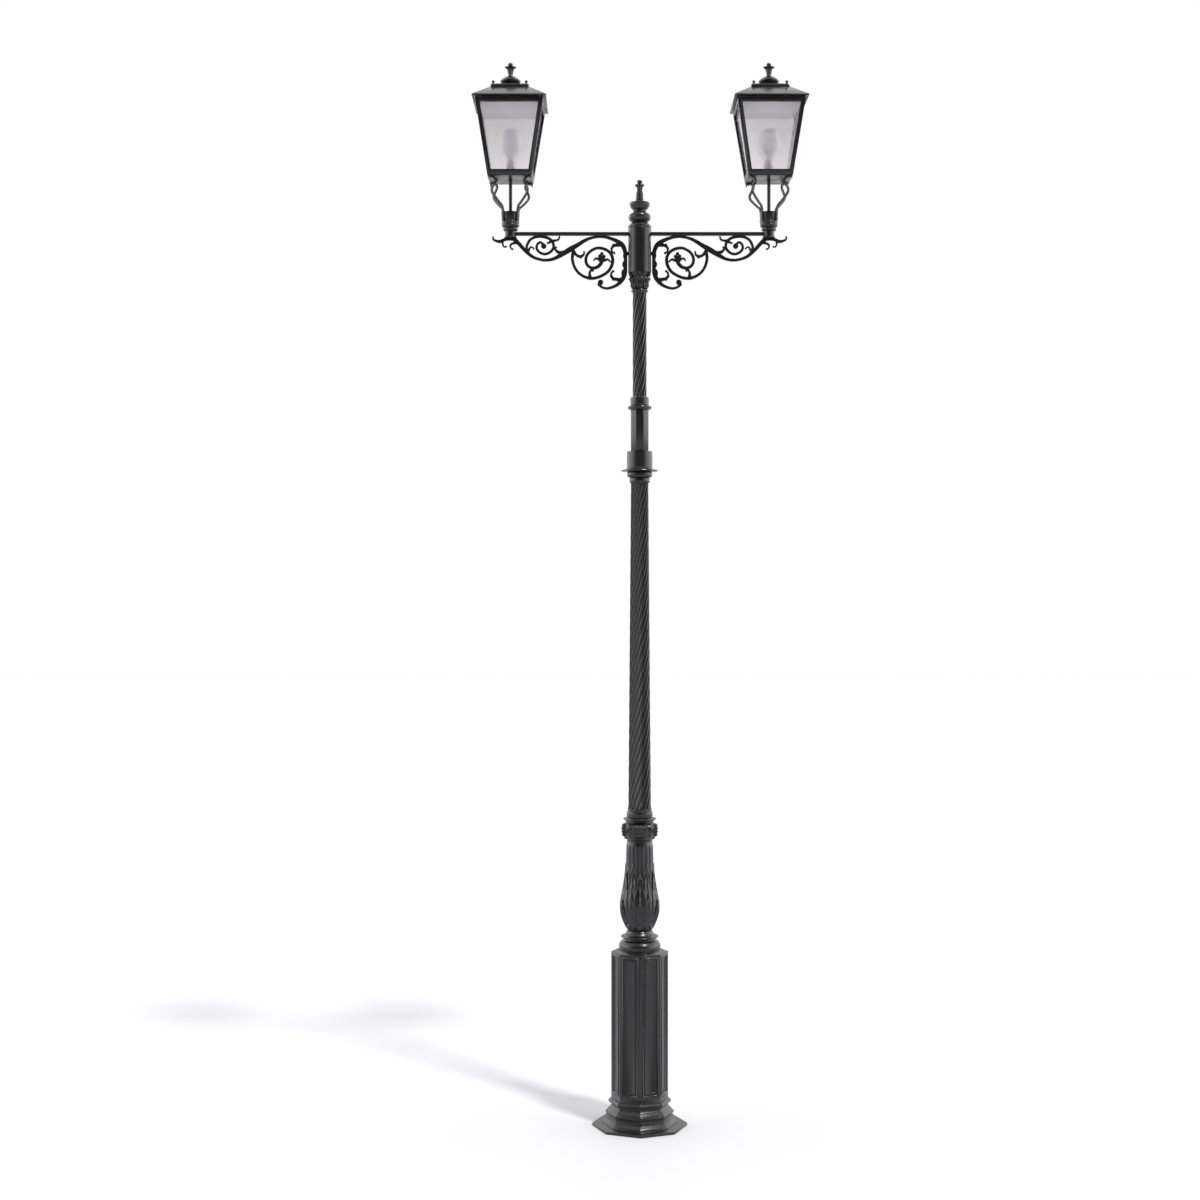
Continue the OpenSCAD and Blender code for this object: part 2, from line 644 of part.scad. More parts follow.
module corner_pendants() color(PAINT) for (side = [-1, 1]) for (x = [-1, 1]) for (y = [-1, 1])
    translate([side * arm_reach + x * (lantern_bottom_w / 2 - 7), y * (lantern_bottom_w / 2 - 7),
               lantern_z - tray_t - 16])
        turned(smooth([[0, 0], [3.5, 2], [4.5, 5], [2.5, 9], [4.5, 12], [5, 16]], 3));

module lamp_holder() color(WHITE) at_lantern(lantern_z) difference() {
    turned([[26, 0], [26, 12], [22, 16], [22, 60], [25, 64], [25, 98]]);
    translate([0, 0, -1]) cylinder(r = conduit_r, h = 20);
    translate([0, 0, 70]) cylinder(r = 20, h = 40);
}

module lamp() color(OPAL) at_lantern(lantern_z + 71)
    turned(smooth([[0, 0], [14, 0], [18, 6], [19, 30], [30, 62], [47, 90], [lamp_r - 1, 120],
        [lamp_r, 142], [lamp_r - 7, 170], [lamp_r * 0.62, 190], [lamp_r * 0.3, 199], [0, 201]], 3));

module roof() color(PAINT) at_lantern(z_eave) difference() {
    union() {
        translate([-eave_w / 2, -eave_w / 2, 0]) cube([eave_w, eave_w, eave_t]);
        translate([0, 0, eave_t]) tapered_square(eave_w, crest_w, roof_h);
        for (x = [-roof_knuckle_x, roof_knuckle_x]) translate([x, roof_hinge_y, roof_hinge_z - z_eave]) {
            rotate([0, 90, 0]) cylinder(r = roof_knuckle_r, h = 24, center = true);
            translate([-12, -roof_knuckle_r, 0]) cube([24, roof_knuckle_r + 5, 8]);
        }
    }
    translate([-150, -150, -1]) cube([300, 300, 5]);
    translate([0, 0, 3]) tapered_square(eave_w - 12, crest_w - 4, roof_h);
    for (x = [-roof_knuckle_x, roof_knuckle_x]) translate([x, roof_hinge_y, roof_hinge_z - z_eave])
        rotate([0, 90, 0]) cylinder(r = pin_r + pin_clear, h = 26, center = true);
}

module reflector() color(WHITE) at_lantern(z_eave - 30) difference() {
    tapered_square(316, 320, 30);
    translate([0, 0, 3]) tapered_square(308, 312, 30);
}

// Square plate with a scalloped edge and a knob at each corner, cast in one piece.
module crest() color(PAINT) at_lantern(z_crest) {
    scallop_r = 8;
    reach = crest_w / 2 - scallop_r;
    linear_extrude(height = crest_t - 8) square(crest_w, center = true);
    linear_extrude(height = crest_t) {
        square(2 * reach, center = true);
        for (a = [0:90:270]) rotate(a) for (k = [-5:5]) translate([k * reach / 5.5, reach])
            circle(r = scallop_r, $fn = 24);
    }
    for (x = [-1, 1]) for (y = [-1, 1])
        translate([x * (crest_w / 2 - 13), y * (crest_w / 2 - 13), crest_t - 1])
            turned(smooth([[8, 0], [6, 4], [5, 7], [8.5, 12], [8, 16], [4, 20], [0, 22]], 3));
}

module ventilator() color(PAINT) at_lantern(z_vent) turned(concat(
    [[44, 0], [42, 8], [43, 18]], ogee(44, 20, 53, 32, 5), [[55, 34], [55, 39]],
    smooth([[53, 42], [42, 52], [28, 60], [15, 66], [12, vent_h]], 3)));

module lantern_finial() color(PAINT) at_lantern(z_finial)
    turned(smooth([[12, 0], [13, 4], [15, 14], [19, 30], [26, 39], [27, 43], [19, 44], [13, 48],
        [14, 56], [10, 64], [0, 68]], 3));

base_plate();
plinth();
pedestal();
pedestal_cap();
vase();
leaf_collar();
lower_collar();
lower_shaft();
joint_collar();
octagonal_shaft();
upper_collar();
upper_shaft();
capital();
head_sleeve();
crown();
crown_finial();
mast_tube();
set_screws();
hinge_pins();
equipment_rail();
fuse_box();
fuse_cover();
cable_glands();
earth_stud();
access_door();
door_lock();
corner_pendants();
conduits();

mirror([1, 0, 0]) arm_bar();  // left_arm_bar
mirror([1, 0, 0]) main_scroll();  // left_main_scroll
mirror([1, 0, 0]) large_scroll();  // left_large_scroll
mirror([1, 0, 0]) small_scroll();  // left_small_scroll
mirror([1, 0, 0]) socket();  // left_socket
mirror([1, 0, 0]) legs();  // left_legs
mirror([1, 0, 0]) frame();  // left_frame
mirror([1, 0, 0]) tray();  // left_tray
mirror([1, 0, 0]) glass();  // left_glass
mirror([1, 0, 0]) lamp_holder();  // left_lamp_holder
mirror([1, 0, 0]) lamp();  // left_lamp
mirror([1, 0, 0]) roof();  // left_roof
mirror([1, 0, 0]) reflector();  // left_reflector
mirror([1, 0, 0]) crest();  // left_crest
mirror([1, 0, 0]) ventilator();  // left_ventilator
mirror([1, 0, 0]) lantern_finial();  // left_finial

arm_bar();  // right_arm_bar
main_scroll();  // right_main_scroll
large_scroll();  // right_large_scroll
small_scroll();  // right_small_scroll
socket();  // right_socket
legs();  // right_legs
frame();  // right_frame
tray();  // right_tray
glass();  // right_glass
lamp_holder();  // right_lamp_holder
lamp();  // right_lamp
roof();  // right_roof
reflector();  // right_reflector
crest();  // right_crest
ventilator();  // right_ventilator
lantern_finial();  // right_finial
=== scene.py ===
"""Looks of the twin-arm street lamp post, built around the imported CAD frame."""

import json
import math

import bmesh
import bpy
import numpy as np
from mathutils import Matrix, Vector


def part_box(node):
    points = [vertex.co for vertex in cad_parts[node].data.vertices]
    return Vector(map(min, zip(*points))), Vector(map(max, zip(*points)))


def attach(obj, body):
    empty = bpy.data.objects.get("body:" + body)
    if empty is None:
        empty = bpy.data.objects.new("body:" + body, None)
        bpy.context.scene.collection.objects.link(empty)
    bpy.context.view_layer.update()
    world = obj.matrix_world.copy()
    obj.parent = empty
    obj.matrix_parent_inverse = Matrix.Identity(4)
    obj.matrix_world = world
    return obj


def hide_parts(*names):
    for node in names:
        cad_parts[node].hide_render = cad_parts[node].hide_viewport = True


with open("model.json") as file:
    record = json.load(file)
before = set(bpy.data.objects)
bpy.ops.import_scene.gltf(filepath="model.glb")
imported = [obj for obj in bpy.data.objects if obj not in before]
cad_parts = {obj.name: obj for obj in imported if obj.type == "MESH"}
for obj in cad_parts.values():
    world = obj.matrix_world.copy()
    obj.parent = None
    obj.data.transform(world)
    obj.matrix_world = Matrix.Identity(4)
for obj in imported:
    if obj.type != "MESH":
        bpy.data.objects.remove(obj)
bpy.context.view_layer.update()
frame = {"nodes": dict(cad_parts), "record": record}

NODES = frame["nodes"]
BODY_OF = {node: body for body, members in frame["record"]["behaviour"]["bodies"].items() for node in members}
SLOT_OF = {row["node"]: row["material_slot"] for row in frame["record"]["subparts"]}
SIDES = ("left", "right")
TAU = 2 * math.pi
AXIS = (0.0, 0.0)      # plan position of the post's axis
FACES = 8              # faces of the pedestal
FACE_STEP = 360 / FACES
DOOR_AZIMUTH = 112.5   # which way the service door faces, in degrees
PANEL_WIDTH = 0.081
PANEL_BORDER = 0.017
PANEL_DEPTH = 0.007    # how far the flat of a panel lies behind its face
# Section of the moulding round a panel: inset from the panel's edge and rise above its flat.
MOULDING = ((-0.006, -0.0005), (-0.006, 0.0066), (-0.005, 0.0094), (-0.002, 0.0110), (0.001, 0.0094),
            (0.0035, 0.0050), (0.006, 0.0016), (0.009, 0.0016), (0.0105, 0.0046), (0.0125, 0.0055),
            (0.0145, 0.0046), (0.017, 0.0010), (0.018, -0.0005))
LEDGE = 2e-5           # how far above and below a level its outline is measured
OUTLINE_ERROR = 4e-5   # how far a simplified outline may lie from the measured one
WELD = 2e-6            # vertices closer than this are one
SMALLEST_RADIUS = 1e-4

# Studio. Lengths in metres, angles in degrees.
FLOOR_HALF = 60.0
FLOOR_COLOUR = (0.482, 0.481, 0.506, 1)
KEY_ENERGY = 2.8
KEY_COLOUR = (1.0, 0.985, 0.96)
KEY_SPREAD = 6.5
KEY_FROM = (2.25, -2.76, 5.35)
CAMERA_AT = (-0.215, -10.19, 2.8455)
CAMERA_SENSOR = 36.0
CAMERA_LENS = 56.4
CAMERA_REACH = 200.0
SIDE_BOX = 2.0         # extra light of the softbox on each side
STUDIO_GAIN = 2.0
# Light of the studio from front to back: share of the way, level.
STUDIO_LEVELS = ((0.0, 0.02), (0.05, 0.05), (0.12, 0.13), (0.2, 0.28), (0.35, 0.5), (0.5, 0.62), (0.75, 0.85),
                 (0.9, 0.90), (1.0, 0.27))


# ---------- Materials ----------

class Nodes:
    """A small helper that adds and wires shader nodes."""

    def __init__(self, tree):
        self.tree = tree

    def add(self, kind, inputs=None, **settings):
        node = self.tree.nodes.new(kind)
        for name, value in settings.items():
            setattr(node, name, value)
        for name, value in (inputs or {}).items():
            self.feed(node, name, value)
        return node

    def feed(self, node, name, value):
        if isinstance(value, bpy.types.NodeSocket):
            self.tree.links.new(value, node.inputs[name])
        else:
            node.inputs[name].default_value = value

    def noise(self, where, scale, detail=4.0, rough=0.55):
        node = self.add("ShaderNodeTexNoise", {"Scale": scale, "Detail": detail, "Roughness": rough})
        self.tree.links.new(where, node.inputs["Vector"])
        return node.outputs["Fac"]

    def ramp(self, value, low, high, out_low=0.0, out_high=1.0):
        node = self.add("ShaderNodeMapRange", {"From Min": low, "From Max": high,
                                               "To Min": out_low, "To Max": out_high})
        self.tree.links.new(value, node.inputs["Value"])
        return node.outputs["Result"]

    def math(self, operation, a, b=0.0):
        node = self.add("ShaderNodeMath", operation=operation)
        self.feed(node, 0, a)
        self.feed(node, 1, b)
        return node.outputs[0]

    def mix_colour(self, factor, a, b):
        node = self.add("ShaderNodeMix", data_type="RGBA")
        self.feed(node, "Factor", factor)
        self.feed(node, "A", a)
        self.feed(node, "B", b)
        return node.outputs["Result"]


def new_material(name):
    material = bpy.data.materials.new(name)
    material.use_nodes = True
    tree = material.node_tree
    tree.nodes.clear()
    kit = Nodes(tree)
    output = kit.add("ShaderNodeOutputMaterial")
    shader = kit.add("ShaderNodeBsdfPrincipled")
    tree.links.new(shader.outputs["BSDF"], output.inputs["Surface"])
    where = kit.add("ShaderNodeTexCoord").outputs["Object"]
    return material, kit, shader, where


def bump(kit, shader, height, distance, strength=1.0):
    node = kit.add("ShaderNodeBump", {"Strength": strength, "Distance": distance, "Height": height})
    kit.feed(shader, "Normal", node.outputs["Normal"])


def surface_finish(name, dark, light, rough, grain, peel, distance, metallic=0.0, wear=0.0,
                   wear_colour=(0.3, 0.3, 0.3, 1)):
    """Paint, metal or moulding: mottled colour, uneven gloss, two sizes of grain and worn edges."""
    material, kit, shader, where = new_material(name)
    mottle = kit.noise(where, grain * 0.12, 5.0)
    coarse = kit.noise(where, grain)
    fine = kit.noise(where, peel, 3.0)
    colour = kit.mix_colour(kit.ramp(mottle, 0.3, 0.7), dark, light)
    roughness = kit.ramp(kit.math("ADD", mottle, fine), 0.6, 1.4, rough[0], rough[1])
    if wear > 0:
        edge = kit.add("ShaderNodeNewGeometry").outputs["Pointiness"]
        worn = kit.math("MULTIPLY", kit.ramp(edge, 0.53, 0.60), kit.ramp(coarse, 0.42, 0.62, 0.0, wear))
        colour = kit.mix_colour(worn, colour, wear_colour)
        roughness = kit.math("ADD", roughness, kit.math("MULTIPLY", worn, 0.15))
    kit.feed(shader, "Base Color", colour)
    kit.feed(shader, "Roughness", roughness)
    kit.feed(shader, "Metallic", metallic)
    height = kit.math("ADD", kit.math("MULTIPLY", coarse, 0.7), kit.math("MULTIPLY", fine, 0.3))
    bump(kit, shader, height, distance)
    return material


def see_through(kit, shader, share, tint):
    """Lets a share of the light straight through the surface."""
    clear = kit.add("ShaderNodeBsdfTransparent", {"Color": tint})
    blend = kit.add("ShaderNodeMixShader", {"Fac": share})
    kit.tree.links.new(shader.outputs["BSDF"], blend.inputs[1])
    kit.tree.links.new(clear.outputs["BSDF"], blend.inputs[2])
    surface = next(node for node in kit.tree.nodes if node.type == "OUTPUT_MATERIAL").inputs["Surface"]
    kit.tree.links.new(blend.outputs[0], surface)


def lantern_glass():
    """Seeded lantern glass: a faint grey tint, slow waves, small bubbles and a little haze."""
    material, kit, shader, where = new_material("lantern_glass")
    waves = kit.noise(where, 22.0, 2.0)
    seeds = kit.add("ShaderNodeTexVoronoi", {"Scale": 110.0}, feature="F1")
    kit.tree.links.new(where, seeds.inputs["Vector"])
    dots = kit.ramp(seeds.outputs["Distance"], 0.0, 0.22, 1.0, 0.0)
    tint = kit.mix_colour(dots, (0.895, 0.880, 0.890, 1), (0.81, 0.80, 0.81, 1))
    haze = kit.ramp(kit.noise(where, 60.0), 0.3, 0.7, 0.03, 0.09)
    kit.feed(shader, "Base Color", tint)
    shader.inputs["Transmission Weight"].default_value = 1.0
    shader.inputs["IOR"].default_value = 1.45
    kit.feed(shader, "Roughness", haze)
    bump(kit, shader, kit.math("ADD", kit.math("MULTIPLY", waves, 0.6), dots), 0.0006)
    see_through(kit, shader, kit.ramp(waves, 0.3, 0.7, 0.60, 0.72), tint)
    return material


def lamp_glass():
    """Satin opal envelope: light spreads under a thin, slightly uneven skin."""
    material, kit, shader, where = new_material("lamp_envelope")
    cloud = kit.noise(where, 18.0)
    kit.feed(shader, "Base Color", kit.mix_colour(cloud, (0.92, 0.93, 0.97, 1), (0.96, 0.965, 0.985, 1)))
    kit.feed(shader, "Roughness", kit.ramp(kit.noise(where, 160.0), 0.3, 0.7, 0.22, 0.34))
    shader.inputs["Subsurface Weight"].default_value = 0.4
    shader.inputs["Subsurface Radius"].default_value = (0.02, 0.02, 0.025)
    bump(kit, shader, kit.noise(where, 320.0), 0.00008)
    see_through(kit, shader, kit.ramp(cloud, 0.3, 0.7, 0.36, 0.46), (0.95, 0.95, 0.97, 1))
    return material


MATERIALS = {
    "black_paint": surface_finish("black_paint", (0.0062, 0.0058, 0.0064, 1), (0.0094, 0.0089, 0.0098, 1),
                                  (0.22, 0.32), 260.0, 900.0, 0.00006, wear=0.25,
                                  wear_colour=(0.04, 0.039, 0.04, 1)),
    "galvanised_steel": surface_finish("galvanised_steel", (0.42, 0.44, 0.46, 1), (0.58, 0.60, 0.62, 1),
                                       (0.34, 0.55), 160.0, 700.0, 0.0002, metallic=0.9),
    "bright_fastener": surface_finish("bright_fastener", (0.50, 0.49, 0.47, 1), (0.64, 0.63, 0.61, 1),
                                      (0.22, 0.36), 400.0, 1500.0, 0.00008, metallic=1.0),
    "grey_moulding": surface_finish("grey_moulding", (0.13, 0.135, 0.14, 1), (0.17, 0.175, 0.18, 1),
                                    (0.42, 0.56), 300.0, 1600.0, 0.0001),
    "white_moulding": surface_finish("white_moulding", (0.72, 0.72, 0.68, 1), (0.80, 0.80, 0.77, 1),
                                     (0.28, 0.40), 200.0, 1200.0, 0.00006),
    "white_ceramic": surface_finish("white_ceramic", (0.70, 0.70, 0.67, 1), (0.80, 0.80, 0.78, 1),
                                    (0.12, 0.22), 120.0, 600.0, 0.0001),
    "reflector_enamel": surface_finish("reflector_enamel", (0.68, 0.68, 0.69, 1), (0.76, 0.76, 0.77, 1),
                                       (0.30, 0.42), 80.0, 500.0, 0.0002),
    "lantern_glass": lantern_glass(),
    "lamp_envelope": lamp_glass(),
}


# ---------- Mesh tools ----------

def set_material(obj, slot):
    obj.data.materials.clear()
    obj.data.materials.append(MATERIALS[slot])


def shade(mesh, angle=32.0):
    """Smooth shading, with edges sharper than angle kept crisp."""
    bm = bmesh.new()
    bm.from_mesh(mesh)
    bmesh.ops.recalc_face_normals(bm, faces=bm.faces)
    limit = math.radians(angle)
    for face in bm.faces:
        face.smooth = True
    for edge in bm.edges:
        edge.smooth = len(edge.link_faces) == 2 and edge.calc_face_angle(0.0) < limit
    bm.to_mesh(mesh)
    bm.free()


def finish_piece(obj, node):
    """Puts a piece in place of its CAD node, on that node's body and in its material slot."""
    set_material(obj, SLOT_OF[node])
    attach(obj, BODY_OF[node])
    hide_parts(node)


def mesh_object(name, verts, faces):
    mesh = bpy.data.meshes.new(name)
    mesh.from_pydata([tuple(v) for v in verts], [], faces)
    mesh.validate()
    obj = bpy.data.objects.new(name, mesh)
    bpy.context.scene.collection.objects.link(obj)
    return obj


def cad_verts(node):
    return np.array([v.co for v in NODES[node].data.vertices], float).reshape(-1, 3)


def welded_copy(node, flat_angle=None):
    """A copy of a CAD node with its seams closed and, given flat_angle in degrees, its flat faces merged."""
    obj = bpy.data.objects.new("piece_" + node, NODES[node].data.copy())
    bpy.context.scene.collection.objects.link(obj)
    bm = bmesh.new()
    bm.from_mesh(obj.data)
    bmesh.ops.remove_doubles(bm, verts=bm.verts, dist=WELD)
    if flat_angle is not None:
        bmesh.ops.dissolve_limit(bm, angle_limit=math.radians(flat_angle), verts=bm.verts, edges=bm.edges)
    bm.to_mesh(obj.data)
    bm.free()
    return obj


def apply_modifiers(obj):
    graph = bpy.context.evaluated_depsgraph_get()
    mesh = bpy.data.meshes.new_from_object(obj.evaluated_get(graph))
    obj.modifiers.clear()
    obj.data = mesh


def softened(node, width, segments=2, angle=28.0):
    """A copy of a CAD node with its flat faces merged and its edges rounded."""
    obj = welded_copy(node, flat_angle=0.6)
    bevel = obj.modifiers.new("edges", "BEVEL")
    bevel.width = width
    bevel.segments = segments
    bevel.limit_method = "ANGLE"
    bevel.angle_limit = math.radians(angle)
    bevel.use_clamp_overlap = True
    apply_modifiers(obj)
    shade(obj.data, 40.0)
    finish_piece(obj, node)


def forged(node, voxel, rounds, factor=0.5):
    """A copy of a CAD node made over as one smooth forged skin, its edges worn round."""
    obj = welded_copy(node)
    remesh = obj.modifiers.new("skin", "REMESH")
    remesh.mode = "VOXEL"
    remesh.voxel_size = voxel
    relax = obj.modifiers.new("relax", "SMOOTH")
    relax.factor = factor
    relax.iterations = rounds
    apply_modifiers(obj)
    shade(obj.data, 80.0)
    finish_piece(obj, node)


def profile_of(node, centre):
    """The outer outline of a turned CAD node, as (radius, height) from its lowest point up."""
    mesh = NODES[node].data
    verts = cad_verts(node)
    flat = np.hypot(verts[:, 0] - centre[0], verts[:, 1] - centre[1])
    ends = np.array([edge.vertices[:] for edge in mesh.edges])
    r0, r1 = flat[ends[:, 0]], flat[ends[:, 1]]
    z0, z1 = verts[ends[:, 0], 2], verts[ends[:, 1], 2]
    swap = z0 > z1
    r0, r1 = np.where(swap, r1, r0), np.where(swap, r0, r1)
    z0, z1 = np.where(swap, z1, z0), np.where(swap, z0, z1)
    bottom, top = verts[:, 2].min(), verts[:, 2].max()
    levels = sorted(set(np.round(verts[:, 2], 5)))
    heights = []
    for level in levels:
        heights += [level - LEDGE, level + LEDGE]
    heights = [h for h in heights if bottom < h < top]
    outline = []
    for height in heights:
        crossing = (z0 <= height) & (z1 > height)
        if crossing.any():
            share = (height - z0[crossing]) / (z1[crossing] - z0[crossing])
            radius = (r0[crossing] + (r1[crossing] - r0[crossing]) * share).max()
            outline.append((float(radius), float(height)))
    return simplified(outline, OUTLINE_ERROR)


def simplified(points, tolerance):
    """Drops the points that lie within tolerance of the line between their neighbours."""
    if len(points) < 3:
        return points
    (r0, z0), (r1, z1) = points[0], points[-1]
    length = math.hypot(r1 - r0, z1 - z0) + 1e-9
    gaps = [abs((r1 - r0) * (z0 - z) - (r0 - r) * (z1 - z0)) / length for r, z in points]
    worst = max(range(len(points)), key=gaps.__getitem__)
    if gaps[worst] < tolerance:
        return [points[0], points[-1]]
    return simplified(points[:worst + 1], tolerance)[:-1] + simplified(points[worst:], tolerance)


def dense(profile, step):
    """The same outline with points no further apart than step."""
    points = [profile[0]]
    for a, b in zip(profile, profile[1:]):
        count = max(1, int(math.ceil(math.hypot(b[0] - a[0], b[1] - a[1]) / step)))
        for k in range(1, count + 1):
            points.append((a[0] + (b[0] - a[0]) * k / count, a[1] + (b[1] - a[1]) * k / count))
    return points


def lathe(name, centre, profile, segments, relief=None):
    """A closed turned solid. relief(angle, height, radius) gives how far the skin moves out."""
    rows = np.array(profile, float)
    angles = np.arange(segments) * TAU / segments
    radius = np.repeat(rows[:, :1], segments, axis=1)
    height = np.repeat(rows[:, 1:2], segments, axis=1)
    turn = np.repeat(angles[None, :], len(rows), axis=0)
    if relief is not None:
        radius = radius + relief(turn, height, radius)
    grid = np.stack([centre[0] + radius * np.cos(turn), centre[1] + radius * np.sin(turn), height], axis=2)
    verts = grid.reshape(-1, 3).tolist()
    faces = []
    for i in range(len(rows) - 1):
        for j in range(segments):
            k = (j + 1) % segments
            faces.append((i * segments + j, i * segments + k, (i + 1) * segments + k, (i + 1) * segments + j))
    top = (len(rows) - 1) * segments
    verts.append((centre[0], centre[1], rows[0, 1]))
    verts.append((centre[0], centre[1], rows[-1, 1]))
    low, high = len(verts) - 2, len(verts) - 1
    for j in range(segments):
        k = (j + 1) % segments
        faces.append((low, k, j))
        faces.append((high, top + j, top + k))
    obj = mesh_object(name, verts, faces)
    shade(obj.data)
    return obj


def turned(node, centre, segments=96, step=0.004, relief=None):
    """Replaces a turned CAD node by a finer solid on the same outline."""
    profile = [(max(r, SMALLEST_RADIUS), z) for r, z in dense(profile_of(node, centre), step)]
    obj = lathe("piece_" + node, centre, profile, segments, relief)
    finish_piece(obj, node)


def lantern_axis(side):
    """The plan position of a lantern's upright axis."""
    low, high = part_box(side + "_lamp")
    return (low.x + high.x) / 2, (low.y + high.y) / 2


# ---------- Reliefs, in metres ----------

def smooth_step(x):
    x = np.clip(x, 0, 1)
    return x * x * (3 - 2 * x)


def strands(count, pitch, depth, start):
    """Round strands wound to the right, count of them, one full turn in pitch metres."""
    def relief(turn, height, radius):
        phase = count * (turn - TAU * (height - start) / pitch) / 2
        return -depth * (1 - np.abs(np.sin(phase)) ** 0.65)
    return relief


def flutes(count, pitch, depth, start):
    """Hollow flutes between thin ridges, wound to the right."""
    def relief(turn, height, radius):
        phase = count * (turn - TAU * (height - start) / pitch) / 2
        return -depth * (np.sqrt(np.sin(phase) ** 2 + 0.03) - 0.17)
    return relief


def leaf(offset, along, width, height, waist=0.62):
    """A raised leaf with a rolled rim, a midrib and side veins, along runs 0 to 1 from root to tip."""
    inside = np.clip(along, 0, 1)
    half = width * np.sin(np.pi * inside ** waist) ** 0.85 + 1e-6
    depth = half - np.abs(offset)
    body = smooth_step(depth / (0.16 * width))
    rim = 0.45 * np.exp(-((depth - 0.14 * width) / (0.07 * width)) ** 2)
    hollow = 0.35 * smooth_step((depth - 0.2 * width) / (0.3 * width))
    rib = 0.55 * np.exp(-(offset / (0.07 * width)) ** 2)
    vein = 0.10 * np.sin(np.abs(offset) / width * 9 + inside * 40) * smooth_step(depth / (0.4 * width))
    mask = (along > 0) & (along < 1) & (depth > 0)
    return np.where(mask, height * (body + rim - hollow + rib + vein), 0.0)


def around(turn, count, shift=0.0):
    """Signed angle to the nearest of count evenly spaced meridians, the first at the front."""
    step = TAU / count
    return (turn + math.pi / 2 - shift * step + step / 2) % step - step / 2


def leaf_ring(turn, height, radius, count, shift, z0, z1, width, lift, waist=0.62):
    offset = around(turn, count, shift) * radius
    return leaf(offset, (height - z0) / (z1 - z0), width, lift, waist)


def rise_between(height, low, high, fade):
    return smooth_step((height - low) / fade) * smooth_step((high - height) / fade)


def vase_relief(z0, z1):
    """Fluted neck, two overlapping rings of tall lancet leaves, and a teardrop on each front leaf."""
    span = z1 - z0

    def relief(turn, height, radius):
        t = (height - z0) / span
        ridges = np.abs(np.sin(8 * (turn + math.pi / 2))) ** 0.7
        neck = -0.0035 * (1 - ridges) * rise_between(t, 0.55, 0.985, 0.05)
        front, behind, drop = (
            leaf_ring(turn, height, radius, 6, shift, z0 + low * span, z0 + high * span, width, lift, waist)
            for shift, low, high, width, lift, waist in ((0.0, 0.02, 0.68, 0.043, 0.0050, 0.55),
                                                         (0.5, 0.03, 0.78, 0.036, 0.0036, 0.6),
                                                         (0.0, 0.08, 0.36, 0.021, 0.0042, 0.55)))
        return neck + np.maximum(front, behind) + drop - 0.0028
    return relief


def collar_relief(z0, z1):
    """Four ribbed shells with a curled leaf between each two, under a plain rim."""
    span = z1 - z0

    def relief(turn, height, radius):
        t = (height - z0) / span
        across = around(turn, 4) * radius
        shell = smooth_step((0.033 - np.abs(across)) / 0.006) * rise_between(t, 0.22, 0.90, 0.07)
        ribs = 0.0034 * np.cos(across * TAU / 0.0145) * shell * (0.6 + 0.4 * np.cos(t * 40))
        sill = smooth_step((0.040 - np.abs(across)) / 0.004) * rise_between(t, 0.10, 0.24, 0.05)
        between = around(turn, 4, 0.5) * radius
        curl = np.hypot(between / 0.024, (t - 0.55) / 0.36)
        volute = smooth_step((1 - curl) * 2.4) * (0.72 + 0.28 * np.cos(curl * 13))
        ground = -0.0090 * rise_between(t, 0.03, 0.97, 0.08)
        return 0.0105 * np.maximum(shell, volute) + ribs + 0.006 * sill + ground
    return relief


def capital_relief(z0, z1):
    span = z1 - z0

    def relief(turn, height, radius):
        t = (height - z0) / span
        low = leaf_ring(turn, height, radius, 8, 0.0, z0 + 0.22 * span, z0 + 0.74 * span, 0.019, 0.0060)
        high = leaf_ring(turn, height, radius, 8, 0.5, z0 + 0.48 * span, z0 + 1.02 * span, 0.023, 0.0060)
        return (np.maximum(low, high) - 0.0040) * rise_between(t, 0.2, 1.02, 0.05)
    return relief


def bud_relief(z0, z1, crown):
    """A leaf bud with a ring of pointed tips at the height share crown."""
    span = z1 - z0

    def relief(turn, height, radius):
        t = (height - z0) / span
        lobes = np.abs(np.cos(2.5 * (turn + math.pi / 2)))
        flare = np.exp(-((t - crown) / 0.045) ** 2)
        ribs = 0.10 * radius * (lobes - 0.7) * rise_between(t, 0.04, crown, 0.1)
        return ribs + radius * flare * (0.26 * lobes ** 0.7 - 0.04)
    return relief


# ---------- Post ----------

def build_post():
    for node in ("lower_collar", "joint_collar", "upper_collar", "head_sleeve", "crown"):
        turned(node, AXIS, 128, 0.006)
    for node, relief_maker, segments, step in (("vase", vase_relief, 360, 0.0025),
                                               ("leaf_collar", collar_relief, 384, 0.0016),
                                               ("capital", capital_relief, 320, 0.0015)):
        low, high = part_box(node)
        turned(node, AXIS, segments, step, relief_maker(low.z, high.z))
    low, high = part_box("crown_finial")
    turned("crown_finial", AXIS, 128, 0.0012, bud_relief(low.z, high.z, 0.74))
    for node, winding, count, depth, pitch in (("lower_shaft", flutes, 16, 0.0080, 1.122),
                                               ("upper_shaft", strands, 10, 0.0095, 0.777)):
        low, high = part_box(node)
        verts = cad_verts(node)
        tip = np.hypot(*verts[verts[:, 2] > high.z - LEDGE, :2].T).max()
        profile = dense([(high.x, low.z), (float(tip), high.z)], 0.006)
        obj = lathe("piece_" + node, AXIS, profile, count * 16, winding(count, pitch, depth, low.z))
        finish_piece(obj, node)
    softened("octagonal_shaft", 0.002)
    for node, width in (("pedestal_cap", 0.0012), ("plinth", 0.002), ("pedestal", 0.0015),
                        ("base_plate", 0.001), ("access_door", 0.001), ("door_lock", 0.0006),
                        ("equipment_rail", 0.0008), ("fuse_box", 0.0015), ("fuse_cover", 0.002),
                        ("cable_glands", 0.0008), ("earth_stud", 0.0008), ("set_screws", 0.0005)):
        softened(node, width)


